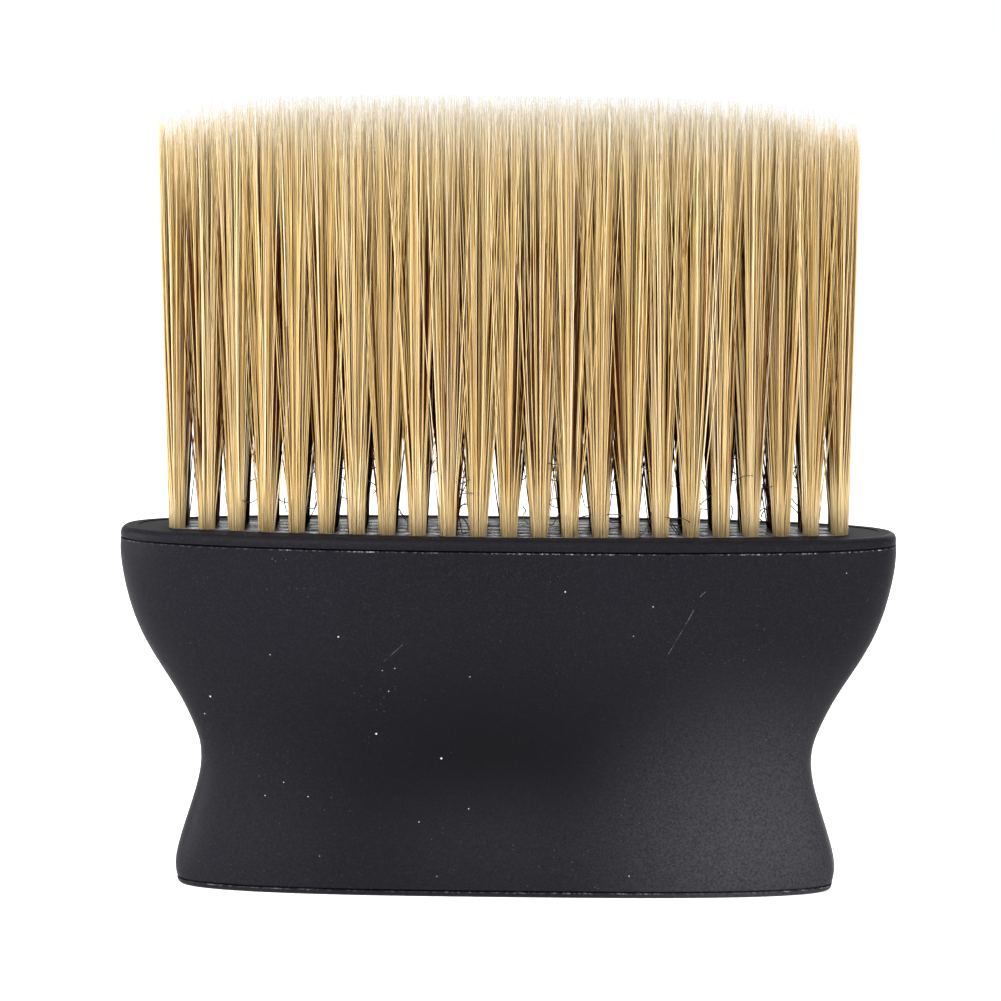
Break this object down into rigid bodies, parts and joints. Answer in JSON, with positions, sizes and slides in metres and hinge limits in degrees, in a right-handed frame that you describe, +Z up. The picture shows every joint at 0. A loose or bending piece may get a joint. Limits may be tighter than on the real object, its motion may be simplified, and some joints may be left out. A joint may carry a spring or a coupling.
{
  "type": "neck duster brush",
  "caption": "Wide flat neck duster brush: waisted hollow moulded handle, rounded head block and upright soft bristle tufts anchored in blind holes.",
  "frame": {"origin": "centre of the flat foot, on the surface the brush stands on", "axes": "+Z up through the bristles, +X along the width of the head, front at -Y"},
  "size_m": [0.1402, 0.037, 0.1428],
  "materials": {
    "handle_plastic": "satin charcoal moulded plastic with fine specks and light scuffs",
    "head_plastic": "satin charcoal moulded plastic, glossier flat face",
    "base_plastic": "satin charcoal moulded plastic",
    "staple_wire": "drawn flat wire",
    "bristle": "fine warm tan synthetic filament, paler at the flagged tips"
  },
  "bodies": {
    "root": {"handle_body": "handle_plastic", "bristle_block": "head_plastic", "base_cap": "base_plastic", "anchor_staples": "staple_wire", "tuft_column_01": "bristle", "tuft_column_02": "bristle", "tuft_column_03": "bristle", "tuft_column_04": "bristle", "tuft_column_05": "bristle", "tuft_column_06": "bristle", "tuft_column_07": "bristle", "tuft_column_08": "bristle", "tuft_column_09": "bristle", "tuft_column_10": "bristle", "tuft_column_11": "bristle", "tuft_column_12": "bristle", "tuft_column_13": "bristle", "tuft_column_14": "bristle", "tuft_column_15": "bristle", "tuft_column_16": "bristle", "tuft_column_17": "bristle", "tuft_column_18": "bristle", "tuft_column_19": "bristle", "tuft_column_20": "bristle", "tuft_column_21": "bristle", "tuft_column_22": "bristle", "tuft_column_23": "bristle"}
  },
  "joints": []
}
